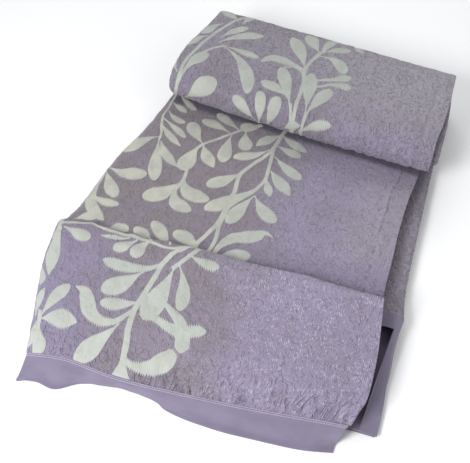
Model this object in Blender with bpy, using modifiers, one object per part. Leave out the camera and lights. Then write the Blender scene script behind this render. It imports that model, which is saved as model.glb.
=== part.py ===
"""A double-bed bedspread, folded away and lying on a flat surface. Metres, +Z up.

The cloth is folded like a book across its width, which gives four layers, and the four layers are then laid
along Y: from the front hem over a low crest, along a flat middle, back and forth in a thick roll at the far end,
round the far edge, and forward again underneath. Every layer of the woven cloth is one continuous sheet.
"""

import math
from collections import namedtuple

import bmesh
import bpy
from mathutils import Vector

# Driving dimensions
CLOTH = 0.004  # the woven cloth with its puckers
BAND = 0.002  # the plain hem band
SEAM_GAP = 0.0008  # between the cloth and the band that is sewn to it
LAYERS = 4  # 1 is the outermost layer and 4 the innermost
STACK = 0.024  # from the middle of layer 1 to the middle of layer 4
CENTRE = Vector((-0.0104, 0.5266, 0.0))  # of the layout below, put at the origin

# Where the folded strip turns, along Y and up Z, at the middle of its width
INNER_TURN = dict(y=0.955, z=0.061, inner=0.005)  # under the roll
NOSE_TURN = dict(y=0.760, z=0.102, inner=0.012)  # the roll's front
FAR_TURN = dict(y=0.992, z=0.066, inner=0.040)  # the far edge
ROLL_SKEW = -0.075  # how far the roll turns from square, as a slope

# The strip's run at rest. z1 and z4 are the middles of layers 1 and 4, left and right its edges, skew a slope in Y.
Run = namedtuple("Run", "y z1 z4 left right skew")
TOP_RUN = [
    Run(0.020, 0.021, 0.003, -0.312, 0.270, 0.00),
    Run(0.045, 0.033, 0.006, -0.317, 0.279, 0.00),
    Run(0.060, 0.039, 0.015, -0.320, 0.284, 0.00),
    Run(0.075, 0.045, 0.024, -0.323, 0.289, 0.00),
    Run(0.100, 0.053, 0.029, -0.329, 0.300, 0.00),
    Run(0.140, 0.061, 0.035, -0.339, 0.302, 0.01),
    Run(0.200, 0.069, 0.043, -0.354, 0.300, 0.02),
    Run(0.260, 0.078, 0.052, -0.362, 0.294, 0.03),
    Run(0.285, 0.083, 0.056, -0.363, 0.290, 0.03),
    Run(0.300, 0.085, 0.057, -0.364, 0.288, 0.03),
    Run(0.312, 0.082, 0.054, -0.363, 0.287, 0.03),
    Run(0.325, 0.074, 0.050, -0.361, 0.286, 0.03),
    Run(0.340, 0.068, 0.047, -0.358, 0.286, 0.03),
    Run(0.362, 0.064, 0.042, -0.352, 0.286, 0.02),
    Run(0.400, 0.061, 0.038, -0.347, 0.286, 0.01),
    Run(0.460, 0.058, 0.034, -0.343, 0.287, 0.00),
    Run(0.540, 0.056, 0.032, -0.333, 0.287, -0.02),
    Run(0.630, 0.056, 0.032, -0.311, 0.290, -0.05),
    Run(0.720, 0.056, 0.032, -0.294, 0.300, ROLL_SKEW),
    Run(INNER_TURN["y"], 0.056, 0.032, -0.276, 0.304, ROLL_SKEW),
]
BACK_RUN = [
    Run(NOSE_TURN["y"], 0.066, 0.090, -0.291, 0.330, ROLL_SKEW),
    Run(INNER_TURN["y"], 0.066, 0.090, -0.276, 0.304, ROLL_SKEW),
]
ROLL_RUN = [
    Run(NOSE_TURN["y"], 0.138, 0.114, -0.291, 0.330, ROLL_SKEW),
    Run(0.840, 0.139, 0.115, -0.290, 0.334, ROLL_SKEW),
    Run(0.920, 0.135, 0.111, -0.274, 0.333, ROLL_SKEW),
    Run(FAR_TURN["y"], 0.130, 0.106, -0.262, 0.330, ROLL_SKEW),
]
UNDER_RUN = [
    Run(0.325, 0.002, 0.042, -0.264, 0.336, 0.00),
    Run(0.360, 0.002, 0.033, -0.266, 0.331, 0.00),
    Run(0.410, 0.002, 0.026, -0.268, 0.327, 0.00),
    Run(0.600, 0.002, 0.026, -0.268, 0.327, 0.00),
    Run(FAR_TURN["y"], 0.002, 0.026, -0.264, 0.330, ROLL_SKEW),
]
UNDER_STEP = 0.008  # layers 1, 2 and 3 lie this far apart in the under run

# The front stands higher at its right, where the pack below props it up: by this much along Y, from nothing at
# PROP_LEFT to all of it at PROP_RIGHT
Prop = namedtuple("Prop", "y rise")
PROP = [
    Prop(0.040, 0.000),
    Prop(0.062, 0.004),
    Prop(0.085, 0.015),
    Prop(0.105, 0.015),
    Prop(0.150, 0.009),
    Prop(0.220, 0.002),
    Prop(0.260, 0.000),
]
PROP_LEFT, PROP_RIGHT = -0.10, 0.17

# The roll's front bows forward between its ends, fading to nothing by its back
BOW = dict(depth=0.010, middle=0.02, half=0.31, full=0.80, none=0.93)

# The front seam of the outer layer, and its band's front bend and hem on the surface, by their place across the strip
Edge = namedtuple("Edge", "x seam bend hem")
FRONT_EDGE = [
    Edge(-0.312, 0.028, -0.010, -0.022),
    Edge(-0.262, 0.036, -0.002, -0.014),
    Edge(-0.236, 0.036, -0.007, -0.019),
    Edge(-0.208, 0.034, 0.010, 0.004),
    Edge(-0.155, 0.030, 0.017, 0.026),
    Edge(-0.095, 0.031, 0.026, 0.052),
    Edge(-0.045, 0.034, 0.012, 0.012),
    Edge(0.000, 0.036, 0.008, -0.004),
    Edge(0.130, 0.046, 0.014, 0.001),
    Edge(0.210, 0.054, 0.020, 0.007),
    Edge(0.250, 0.058, 0.027, 0.013),
    Edge(0.280, 0.060, 0.040, 0.022),
]
INNER_EDGE = Edge(None, 0.124, 0.078, 0.062)  # the same for layers 2 and 3, and for most of layer 4
INNER_SHARE = 0.22  # of layer 4's width, over which its end draws back from the outer layer's
FOLD_Z = dict(bend=0.0100, hem=0.0076)  # the outer layer's middle at its left fold
SETTLED_Z = dict(bend=0.0056, hem=0.0016)  # and where it lies on the surface, from SETTLED_SHARE of its width
SETTLED_SHARE = 0.18

# The other end, underneath: the seam, and the hem with its layers' middles
UNDER_SEAM = 0.325
UNDER_HEM = dict(outer=0.080, left=0.130, right=0.300)  # layers 1 to 3, and layer 4's two ends
UNDER_HEM_Z = {1: 0.0018, 2: 0.0058, 3: 0.0098, 4: 0.0300}

# The band's edge where it flops into the open mouth of the under run's right fold, and how far it bulges before
Flop = namedtuple("Flop", "angle x y z out")
MOUTH_EDGE = [
    Flop(90, 0.321, 0.292, 0.0410, 0.000),
    Flop(60, 0.319, 0.260, 0.0393, 0.001),
    Flop(30, 0.313, 0.208, 0.0380, 0.003),
    Flop(0, 0.302, 0.149, 0.0339, 0.009),
    Flop(-30, 0.272, 0.100, 0.0285, 0.027),
    Flop(-45, 0.286, 0.078, 0.0174, 0.024),
    Flop(-60, 0.339, 0.074, 0.0132, 0.000),
    Flop(-90, 0.336, 0.077, 0.0098, 0.003),
]

# How far the layers' ends and folds stand back from the strip's right edge: in the top and roll, and in the under run
TOP_INSET = {1: 0.0, 2: 0.007, "fold": 0.003}
ROLL_INSET = {1: 0.013, 2: 0.017, "fold": 0.0}
UNDER_INSET = {1: 0.005, 2: 0.010, "fold": 0.0}

# The columns of the sheet, in the order in which the cloth runs through the book fold
Column = namedtuple("Column", "part at")
COLUMNS = (
    [Column("layer 1", at) for at in (1.0, 0.9, 0.77, 0.62, 0.47, 0.40, 0.32, 0.25, 0.18, 0.12, 0.06)]
    + [Column("left fold", at) for at in (90, 54, 18, -18, -54, -90)]
    + [Column("layer 4", at) for at in (0.06, 0.22, 0.5, 0.85)]
    + [Column("right fold", at) for at in (90, 60, 30, 0, -30, -45, -60, -90)]
    + [Column("layer 3", at) for at in (0.9, 0.5, 0.1)]
    + [Column("inner fold", at) for at in (-90, -45, 0, 45, 90)]
    + [Column("layer 2", at) for at in (0.1, 0.5, 0.85, 1.0)]
)


def mix(a, b, t):
    return a + (b - a) * t


def table_at(table, value):
    """The row of a table at a value of its first column, between the rows that stand there."""
    first = [row[0] for row in table]
    value = min(max(value, first[0]), first[-1])
    upper = next(i for i in range(1, len(first)) if value <= first[i])
    t = (value - first[upper - 1]) / (first[upper] - first[upper - 1])
    return type(table[0])(*(mix(a, b, t) for a, b in zip(table[upper - 1], table[upper])))


def layers_of(run, y, under=False):
    """Where the four layers lie at a place along a run, as {layer: (y, z)}, with the run's edges and skew."""
    row = table_at(run, y)
    if under:
        heights = {1: row.z1, 2: row.z1 + UNDER_STEP, 3: row.z1 + 2 * UNDER_STEP, 4: row.z4}
    else:
        heights = {k: mix(row.z1, row.z4, (k - 1) / (LAYERS - 1)) for k in range(1, LAYERS + 1)}
    return {k: (y, z) for k, z in heights.items()}, row


def layers_round(turn, angle, outer_layer):
    """The same where the strip turns back on itself, on a ray at that angle above +Y."""
    radii = {k: turn["inner"] + STACK * abs(k - (5 - outer_layer)) / (LAYERS - 1) for k in range(1, 5)}
    ray = math.cos(angle), math.sin(angle)
    return {k: (turn["y"] + r * ray[0], turn["z"] + r * ray[1]) for k, r in radii.items()}


def spot(column, layers, row, inset):
    """The point of a column of the sheet on one station of the strip."""
    place = {k: Vector((0, y, z)) for k, (y, z) in layers.items()}
    outer = (place[1] - place[4]) / 2
    inner = (place[2] - place[3]) / 2
    loop = (place[4] - place[3]) / 2
    fold_x = row.left + outer.length
    ends = {
        1: row.right - inset[1],
        2: row.right - inset[2],
        3: row.right - inset["fold"] - loop.length,
        4: row.right - inset["fold"] - loop.length,
    }
    if column.part.startswith("layer"):
        layer = int(column.part[-1])
        point = place[layer].copy()
        point.x = mix(fold_x, ends[layer], column.at)
    else:
        angle = math.radians(column.at)
        if column.part == "left fold":
            point = (place[1] + place[4]) / 2 + outer * math.sin(angle)
            point.x = fold_x - outer.length * math.cos(angle)
        elif column.part == "inner fold":
            point = (place[2] + place[3]) / 2 + inner * math.sin(angle)
            point.x = fold_x - inner.length * math.cos(angle)
        else:
            point = (place[4] + place[3]) / 2 + loop * math.sin(angle)
            point.x = ends[4] + loop.length * math.cos(angle)
    point.y += row.skew * point.x
    return point


def front_edge(column, x):
    """The front seam, bend and hem of a column, as places along Y."""
    first = FRONT_EDGE[0]
    if column.part == "layer 1":
        return table_at(FRONT_EDGE, x)
    if column.part == "left fold":
        return first
    if column.part == "layer 4":
        share = min(1.0, column.at / INNER_SHARE)
        return Edge(x, *(mix(a, b, share) for a, b in zip(first[1:], INNER_EDGE[1:])))
    return INNER_EDGE


def propped(point):
    """The point of the front, raised where the pack below props it up."""
    share = min(1.0, max(0.0, (point.x - PROP_LEFT) / (PROP_RIGHT - PROP_LEFT)))
    point.z += table_at(PROP, point.y).rise * share * share * (3 - 2 * share)
    return point


def bowed(point):
    """The point of the roll, moved forward by its bow."""
    share = (point.x - BOW["middle"]) / BOW["half"]
    fade = min(1.0, max(0.0, (BOW["none"] - point.y) / (BOW["none"] - BOW["full"])))
    point.y -= BOW["depth"] * max(0.0, 1 - share * share) * fade
    return point


def run_stations(column, run, insets, ends, shares, shape=None, under=False):
    """The points of a column along a run, from ends[0] to ends[1], at those shares of the way."""
    points = []
    for share in shares:
        layers, row = layers_of(run, mix(ends[0], ends[1], share), under)
        inset = {key: mix(insets[0][key], insets[1][key], share) for key in insets[0]}
        point = spot(column, layers, row, inset)
        points.append(shape(point) if shape else point)
    return points


def turn_stations(column, turn, before, after, inset, angles, outer_layer, shape=None):
    """The points of a column round a turn, its edges going from those of one run to those of the next."""
    points = []
    for i, angle in enumerate(angles, start=1):
        t = i / (len(angles) + 1)
        row = Run(*(mix(a, b, t) for a, b in zip(before, after)))
        point = spot(column, layers_round(turn, math.radians(angle), outer_layer), row, inset)
        points.append(shape(point) if shape else point)
    return points


def woven_column(column):
    """One column of the woven cloth, from the front seam to the under seam."""
    front = front_edge(column, mix(TOP_RUN[0].left, TOP_RUN[0].right, column.at)).seam
    top, roll, under = TOP_INSET, ROLL_INSET, UNDER_INSET
    crest = [0.0, 0.06, 0.12, 0.2, 0.3, 0.42, 0.55, 0.66, 0.73, 0.78, 0.83, 0.9, 1.0]
    points = run_stations(column, TOP_RUN, (top, top), (front, 0.38), crest, propped)
    flat = [0.12, 0.28, 0.45, 0.62, 0.8, 1.0]
    points += run_stations(column, TOP_RUN, (top, top), (0.38, INNER_TURN["y"]), flat)
    points += turn_stations(
        column, INNER_TURN, TOP_RUN[-1], BACK_RUN[-1], top, (-54, -18, 18, 54), 4
    )
    points += run_stations(
        column, BACK_RUN, (top, roll), (INNER_TURN["y"], NOSE_TURN["y"]), (0.0, 0.5, 1.0), bowed
    )
    points += turn_stations(
        column, NOSE_TURN, BACK_RUN[0], ROLL_RUN[0], roll, (-120, -150, 180, 150, 120), 1, bowed
    )
    points += run_stations(
        column, ROLL_RUN, (roll, top), (NOSE_TURN["y"], FAR_TURN["y"]), (0.0, 0.3, 0.65, 1.0), bowed
    )
    points += turn_stations(
        column, FAR_TURN, ROLL_RUN[-1], UNDER_RUN[-1], top, (64, 38, 12, -12, -38, -64), 1
    )
    ends = (FAR_TURN["y"], 0.42)
    points += run_stations(column, UNDER_RUN, (under, under), ends, (0.0, 0.25, 0.6, 1.0), under=True)
    ends = (0.42, UNDER_SEAM)
    points += run_stations(column, UNDER_RUN, (under, under), ends, (0.3, 0.6, 1.0), under=True)
    return points


def band_start(seam, before):
    """The band's first two points, straight on from the cloth's end."""
    onward = (seam - before).normalized()
    return [seam + onward * SEAM_GAP, seam + onward * 0.004]


def front_band_column(column):
    """One column of the front band: from the seam, down to its bend and out to its hem."""
    seam, before = woven_column(column)[:2]
    start, turn = band_start(seam, before)
    edge = front_edge(column, seam.x)
    ends = {}
    for name in ("bend", "hem"):
        y = getattr(edge, name)
        layers, _ = layers_of(TOP_RUN, y)
        if column.part in ("layer 1", "left fold"):
            layers = {k: (y, z) for k, (_, z) in layers.items()}
            layers[1] = y, FOLD_Z[name]
        ends[name] = spot(column, layers, TOP_RUN[0], TOP_INSET)
        ends[name].y = y
        propped(ends[name])
        if column.part == "layer 1":
            ends[name].z = mix(FOLD_Z[name], SETTLED_Z[name], min(1.0, column.at / SETTLED_SHARE))
    middle = turn.lerp(ends["bend"], 0.5)
    if column.part == "layer 1":
        middle += Vector((0, -0.003, 0.002))
    return [start, turn, middle, ends["bend"], ends["hem"]]


def under_band_column(column):
    """One column of the under band: from the seam, forward to its hem."""
    before, seam = woven_column(column)[-2:]
    start, turn = band_start(seam, before)
    bulge = Vector((0, 0, 0))
    if column.part == "right fold":
        edge = next(row for row in MOUTH_EDGE if row.angle == column.at)
        hem = Vector((edge.x, edge.y, edge.z))
        bulge.x = edge.out
    else:
        hem = spot(column, {k: (0, z) for k, z in UNDER_HEM_Z.items()}, UNDER_RUN[0], UNDER_INSET)
        hem.y = UNDER_HEM["outer"]
        if column.part == "layer 4":
            hem.y = mix(UNDER_HEM["left"], UNDER_HEM["right"], column.at)
            hem.z = mix(hem.z, seam.z, column.at)
        elif column.part == "left fold":
            hem.y = mix(UNDER_HEM["left"], UNDER_HEM["outer"], (column.at + 90) / 180)
    shares = (0.25, 0.5, 0.75, 1.0)
    return [start, turn] + [turn.lerp(hem, t) + bulge * math.sin(math.pi * t**1.5) for t in shares]


def material(name, colour, roughness):
    made = bpy.data.materials.new(name)
    made.use_nodes = True
    shader = made.node_tree.nodes["Principled BSDF"]
    shader.inputs["Base Color"].default_value = (*colour, 1.0)
    shader.inputs["Roughness"].default_value = roughness
    return made


def sheet(name, columns, thickness, finish, collection):
    """A sheet of cloth through a grid of points, given its thickness on both sides."""
    bm = bmesh.new()
    rows, across = len(columns[0]), len(columns)
    bmesh.ops.create_grid(bm, x_segments=rows - 1, y_segments=across - 1, size=1.0)
    ordered = sorted(bm.verts, key=lambda v: (round(v.co.y, 4), round(v.co.x, 4)))
    for i, vert in enumerate(ordered):
        vert.co = columns[i // rows][i % rows] - CENTRE
    mesh = bpy.data.meshes.new(name)
    bm.to_mesh(mesh)
    bm.free()
    mesh.materials.append(finish)
    mesh.shade_smooth()
    obj = bpy.data.objects.new(name, mesh)
    collection.objects.link(obj)
    shell = obj.modifiers.new("Thickness", "SOLIDIFY")
    shell.thickness = thickness
    shell.offset = 0
    return obj


def main():
    for obj in list(bpy.data.objects):
        bpy.data.objects.remove(obj)
    collection = bpy.data.collections.new("Folded bedspread")
    bpy.context.scene.collection.children.link(collection)
    lilac = material("Lilac woven cloth", (0.45, 0.38, 0.50), 0.9)
    plain = material("Plain lilac band", (0.40, 0.33, 0.47), 0.7)
    sheet("woven_cloth", [woven_column(c) for c in COLUMNS], CLOTH, lilac, collection)
    sheet("front_hem_band", [front_band_column(c) for c in COLUMNS], BAND, plain, collection)
    sheet("under_hem_band", [under_band_column(c) for c in COLUMNS], BAND, plain, collection)


main()
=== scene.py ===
# %% [markdown]
# # A folded bedspread in lilac jacquard
# This notebook dresses one object: a double-bed bedspread that was folded away. The cloth is folded like a book
# across its width, so it is four layers thick, and the long strip that comes of it is laid back and forth on itself,
# with a thick rolled fold at the far end. A plain band is sewn to each end of the cloth.
#
# The solids of the three sewn parts come in as a fixed frame. They say where every layer lies, and nothing here moves
# them. What this notebook adds is the cloth as the eye sees it: puckers, creases, woven leaves, stitches and colour.

# %% Load the fixed frame
import math
from collections import namedtuple

import bpy
import numpy as np
from mathutils import Matrix, Vector, noise
from mathutils.geometry import delaunay_2d_cdt
from mathutils.kdtree import KDTree


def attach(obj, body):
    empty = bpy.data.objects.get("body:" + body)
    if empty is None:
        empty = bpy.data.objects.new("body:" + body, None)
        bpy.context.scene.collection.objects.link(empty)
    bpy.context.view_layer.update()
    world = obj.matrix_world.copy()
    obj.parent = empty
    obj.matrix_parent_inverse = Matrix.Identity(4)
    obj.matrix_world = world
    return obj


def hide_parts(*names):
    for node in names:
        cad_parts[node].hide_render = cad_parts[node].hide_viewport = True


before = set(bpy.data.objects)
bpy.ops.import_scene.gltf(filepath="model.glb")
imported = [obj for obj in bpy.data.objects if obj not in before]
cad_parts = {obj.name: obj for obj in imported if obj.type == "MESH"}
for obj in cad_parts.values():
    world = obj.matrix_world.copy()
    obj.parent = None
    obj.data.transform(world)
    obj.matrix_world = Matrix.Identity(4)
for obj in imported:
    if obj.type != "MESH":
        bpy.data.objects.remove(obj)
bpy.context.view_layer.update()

print("parts in the frame:", ", ".join(sorted(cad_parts)))

# %% [markdown]
# ## Where the layers lie
# A sheet of folded cloth could be simulated: dropped, folded and pressed. It would never come down in the same place
# as the frame, so the folds are given instead. A short table says how high the outermost and the innermost
# layer lie along the strip, and where its two edges are. Between its rows, places are mixed in proportion.

# %% The strip's runs and turns
CLOTH = 0.004  # the woven cloth with its puckers
BAND = 0.002  # the plain hem band
SEAM_GAP = 0.0008  # between the cloth and the band that is sewn to it
LAYERS = 4  # 1 is the outermost layer and 4 the innermost
STACK = 0.024  # from the middle of layer 1 to the middle of layer 4
CENTRE = Vector((-0.0104, 0.5266, 0.0))  # of the layout below, put at the origin

# Where the folded strip turns, along Y and up Z, at the middle of its width
INNER_TURN = dict(y=0.955, z=0.061, inner=0.005)  # under the roll
NOSE_TURN = dict(y=0.760, z=0.102, inner=0.012)  # the roll's front
FAR_TURN = dict(y=0.992, z=0.066, inner=0.040)  # the far edge
ROLL_SKEW = -0.075  # how far the roll turns from square, as a slope

# The strip's run at rest. z1 and z4 are the middles of layers 1 and 4, left and right its edges, skew a slope in Y.
Run = namedtuple("Run", "y z1 z4 left right skew")
TOP_RUN = [
    Run(0.020, 0.021, 0.003, -0.312, 0.270, 0.00),
    Run(0.045, 0.033, 0.006, -0.317, 0.279, 0.00),
    Run(0.060, 0.039, 0.015, -0.320, 0.284, 0.00),
    Run(0.075, 0.045, 0.024, -0.323, 0.289, 0.00),
    Run(0.100, 0.053, 0.029, -0.329, 0.300, 0.00),
    Run(0.140, 0.061, 0.035, -0.339, 0.302, 0.01),
    Run(0.200, 0.069, 0.043, -0.354, 0.300, 0.02),
    Run(0.260, 0.078, 0.052, -0.362, 0.294, 0.03),
    Run(0.285, 0.083, 0.056, -0.363, 0.290, 0.03),
    Run(0.300, 0.085, 0.057, -0.364, 0.288, 0.03),
    Run(0.312, 0.082, 0.054, -0.363, 0.287, 0.03),
    Run(0.325, 0.074, 0.050, -0.361, 0.286, 0.03),
    Run(0.340, 0.068, 0.047, -0.358, 0.286, 0.03),
    Run(0.362, 0.064, 0.042, -0.352, 0.286, 0.02),
    Run(0.400, 0.061, 0.038, -0.347, 0.286, 0.01),
    Run(0.460, 0.058, 0.034, -0.343, 0.287, 0.00),
    Run(0.540, 0.056, 0.032, -0.333, 0.287, -0.02),
    Run(0.630, 0.056, 0.032, -0.311, 0.290, -0.05),
    Run(0.720, 0.056, 0.032, -0.294, 0.300, ROLL_SKEW),
    Run(INNER_TURN["y"], 0.056, 0.032, -0.276, 0.304, ROLL_SKEW),
]
BACK_RUN = [
    Run(NOSE_TURN["y"], 0.066, 0.090, -0.291, 0.330, ROLL_SKEW),
    Run(INNER_TURN["y"], 0.066, 0.090, -0.276, 0.304, ROLL_SKEW),
]
ROLL_RUN = [
    Run(NOSE_TURN["y"], 0.138, 0.114, -0.291, 0.330, ROLL_SKEW),
    Run(0.840, 0.139, 0.115, -0.290, 0.334, ROLL_SKEW),
    Run(0.920, 0.135, 0.111, -0.274, 0.333, ROLL_SKEW),
    Run(FAR_TURN["y"], 0.130, 0.106, -0.262, 0.330, ROLL_SKEW),
]
UNDER_RUN = [
    Run(0.325, 0.002, 0.042, -0.264, 0.336, 0.00),
    Run(0.360, 0.002, 0.033, -0.266, 0.331, 0.00),
    Run(0.410, 0.002, 0.026, -0.268, 0.327, 0.00),
    Run(0.600, 0.002, 0.026, -0.268, 0.327, 0.00),
    Run(FAR_TURN["y"], 0.002, 0.026, -0.264, 0.330, ROLL_SKEW),
]
UNDER_STEP = 0.008  # layers 1, 2 and 3 lie this far apart in the under run
CREST_END, RISE_START = 0.38, 0.42  # along Y: where the crest settles, and where the under run starts to open

# The front stands higher at its right, where the pack below props it up: by this much along Y, from nothing at
# PROP_LEFT to all of it at PROP_RIGHT
Prop = namedtuple("Prop", "y rise")
PROP = [
    Prop(0.040, 0.000),
    Prop(0.062, 0.004),
    Prop(0.085, 0.015),
    Prop(0.105, 0.015),
    Prop(0.150, 0.009),
    Prop(0.220, 0.002),
    Prop(0.260, 0.000),
]
PROP_LEFT, PROP_RIGHT = -0.10, 0.17

# The roll's front bows forward between its ends, fading to nothing by its back
BOW = dict(depth=0.010, middle=0.02, half=0.31, full=0.80, none=0.93)

# %% [markdown]
# ## The ends of the cloth
# The front seam wanders, and so does the hem of the band below it: at one place the band has tucked itself under.
# At the other end, underneath, the band flops open like a mouth. Both are given as rows of places that were judged,
# across the strip.

# %% The seams, hems and the open mouth
# The front seam of the outer layer, and its band's front bend and hem on the surface, by their place across the strip
Edge = namedtuple("Edge", "x seam bend hem")
FRONT_EDGE = [
    Edge(-0.312, 0.028, -0.010, -0.022),
    Edge(-0.262, 0.036, -0.002, -0.014),
    Edge(-0.236, 0.036, -0.007, -0.019),
    Edge(-0.208, 0.034, 0.010, 0.004),
    Edge(-0.155, 0.030, 0.017, 0.026),
    Edge(-0.095, 0.031, 0.026, 0.052),
    Edge(-0.045, 0.034, 0.012, 0.012),
    Edge(0.000, 0.036, 0.008, -0.004),
    Edge(0.130, 0.046, 0.014, 0.001),
    Edge(0.210, 0.054, 0.020, 0.007),
    Edge(0.250, 0.058, 0.027, 0.013),
    Edge(0.280, 0.060, 0.040, 0.022),
]
INNER_EDGE = Edge(None, 0.124, 0.078, 0.062)  # the same for layers 2 and 3, and for most of layer 4
INNER_SHARE = 0.22  # of layer 4's width, over which its end draws back from the outer layer's
FOLD_Z = dict(bend=0.0100, hem=0.0076)  # the outer layer's middle at its left fold
SETTLED_Z = dict(bend=0.0056, hem=0.0016)  # and where it lies on the surface, from SETTLED_SHARE of its width
SETTLED_SHARE = 0.18

# The other end, underneath: the seam, and the hem with its layers' middles
UNDER_SEAM = 0.325
UNDER_HEM = dict(outer=0.080, left=0.130, right=0.300)  # layers 1 to 3, and layer 4's two ends
UNDER_HEM_Z = {1: 0.0018, 2: 0.0058, 3: 0.0098, 4: 0.0300}

# The band's edge where it flops into the open mouth of the under run's right fold, and how far it bulges before
Flop = namedtuple("Flop", "angle x y z out")
MOUTH_EDGE = [
    Flop(90, 0.321, 0.292, 0.0410, 0.000),
    Flop(60, 0.319, 0.260, 0.0393, 0.001),
    Flop(30, 0.313, 0.208, 0.0380, 0.003),
    Flop(0, 0.302, 0.149, 0.0339, 0.009),
    Flop(-30, 0.272, 0.100, 0.0285, 0.027),
    Flop(-45, 0.286, 0.078, 0.0174, 0.024),
    Flop(-60, 0.339, 0.074, 0.0132, 0.000),
    Flop(-90, 0.336, 0.077, 0.0098, 0.003),
]

# How far the layers' ends and folds stand back from the strip's right edge: in the top and roll, and in the under run
TOP_INSET = {1: 0.0, 2: 0.007, "fold": 0.003}
ROLL_INSET = {1: 0.013, 2: 0.017, "fold": 0.0}
UNDER_INSET = {1: 0.005, 2: 0.010, "fold": 0.0}

# %% [markdown]
# ## The book fold
# Cut across, the strip shows its book fold: layer 1 on top, round the left fold to layer 4 below it, back round the
# right fold to layer 3, and round the inner fold to layer 2. Each column of the sheet keeps its place in that section
# while the section travels along the strip, so a column is one thread of the cloth.

# %% The columns and how a column is laid
# The columns of the sheet, in the order in which the cloth runs through the book fold
Column = namedtuple("Column", "part at")
COLUMNS = (
    [Column("layer 1", at) for at in (1.0, 0.9, 0.77, 0.62, 0.47, 0.40, 0.32, 0.25, 0.18, 0.12, 0.06)]
    + [Column("left fold", at) for at in (90, 54, 18, -18, -54, -90)]
    + [Column("layer 4", at) for at in (0.06, 0.22, 0.5, 0.85)]
    + [Column("right fold", at) for at in (90, 60, 30, 0, -30, -45, -60, -90)]
    + [Column("layer 3", at) for at in (0.9, 0.5, 0.1)]
    + [Column("inner fold", at) for at in (-90, -45, 0, 45, 90)]
    + [Column("layer 2", at) for at in (0.1, 0.5, 0.85, 1.0)]
)

def mix(a, b, t):
    return a + (b - a) * t

def table_at(table, value):
    """The row of a table at a value of its first column, between the rows that stand there."""
    first = [row[0] for row in table]
    value = min(max(value, first[0]), first[-1])
    upper = next(i for i in range(1, len(first)) if value <= first[i])
    t = (value - first[upper - 1]) / (first[upper] - first[upper - 1])
    return type(table[0])(*(mix(a, b, t) for a, b in zip(table[upper - 1], table[upper])))

def layers_of(run, y, under=False):
    """Where the four layers lie at a place along a run, as {layer: (y, z)}, with the run's edges and skew."""
    row = table_at(run, y)
    if under:
        heights = {1: row.z1, 2: row.z1 + UNDER_STEP, 3: row.z1 + 2 * UNDER_STEP, 4: row.z4}
    else:
        heights = {k: mix(row.z1, row.z4, (k - 1) / (LAYERS - 1)) for k in range(1, LAYERS + 1)}
    return {k: (y, z) for k, z in heights.items()}, row

def layers_round(turn, angle, outer_layer):
    """The same where the strip turns back on itself, on a ray at that angle above +Y."""
    inmost = LAYERS + 1 - outer_layer
    radii = {k: turn["inner"] + STACK * abs(k - inmost) / (LAYERS - 1) for k in range(1, LAYERS + 1)}
    ray = math.cos(angle), math.sin(angle)
    return {k: (turn["y"] + r * ray[0], turn["z"] + r * ray[1]) for k, r in radii.items()}

def spot(column, layers, row, inset):
    """The point of a column of the sheet on one station of the strip."""
    place = {k: Vector((0, y, z)) for k, (y, z) in layers.items()}
    outer = (place[1] - place[4]) / 2
    inner = (place[2] - place[3]) / 2
    loop = (place[4] - place[3]) / 2
    fold_x = row.left + outer.length
    ends = {
        1: row.right - inset[1],
        2: row.right - inset[2],
        3: row.right - inset["fold"] - loop.length,
        4: row.right - inset["fold"] - loop.length,
    }
    if column.part.startswith("layer"):
        layer = int(column.part[-1])
        point = place[layer].copy()
        point.x = mix(fold_x, ends[layer], column.at)
    else:
        angle = math.radians(column.at)
        if column.part == "left fold":
            point = (place[1] + place[4]) / 2 + outer * math.sin(angle)
            point.x = fold_x - outer.length * math.cos(angle)
        elif column.part == "inner fold":
            point = (place[2] + place[3]) / 2 + inner * math.sin(angle)
            point.x = fold_x - inner.length * math.cos(angle)
        else:
            point = (place[4] + place[3]) / 2 + loop * math.sin(angle)
            point.x = ends[4] + loop.length * math.cos(angle)
    point.y += row.skew * point.x
    return point

def front_edge(column, x):
    """The front seam, bend and hem of a column, as places along Y."""
    first = FRONT_EDGE[0]
    if column.part == "layer 1":
        return table_at(FRONT_EDGE, x)
    if column.part == "left fold":
        return first
    if column.part == "layer 4":
        share = min(1.0, column.at / INNER_SHARE)
        return Edge(x, *(mix(a, b, share) for a, b in zip(first[1:], INNER_EDGE[1:])))
    return INNER_EDGE

def propped(point):
    """The point of the front, raised where the pack below props it up."""
    share = min(1.0, max(0.0, (point.x - PROP_LEFT) / (PROP_RIGHT - PROP_LEFT)))
    point.z += table_at(PROP, point.y).rise * share * share * (3 - 2 * share)
    return point

def bowed(point):
    """The point of the roll, moved forward by its bow."""
    share = (point.x - BOW["middle"]) / BOW["half"]
    fade = min(1.0, max(0.0, (BOW["none"] - point.y) / (BOW["none"] - BOW["full"])))
    point.y -= BOW["depth"] * max(0.0, 1 - share * share) * fade
    return point

def run_stations(column, run, insets, ends, shares, shape=None, under=False):
    """The points of a column along a run, from ends[0] to ends[1], at those shares of the way."""
    points = []
    for share in shares:
        layers, row = layers_of(run, mix(ends[0], ends[1], share), under)
        inset = {key: mix(insets[0][key], insets[1][key], share) for key in insets[0]}
        point = spot(column, layers, row, inset)
        points.append(shape(point) if shape else point)
    return points

def turn_stations(column, turn, before, after, inset, angles, outer_layer, shape=None):
    """The points of a column round a turn, its edges going from those of one run to those of the next."""
    points = []
    for i, angle in enumerate(angles, start=1):
        t = i / (len(angles) + 1)
        row = Run(*(mix(a, b, t) for a, b in zip(before, after)))
        point = spot(column, layers_round(turn, math.radians(angle), outer_layer), row, inset)
        points.append(shape(point) if shape else point)
    return points

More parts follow.
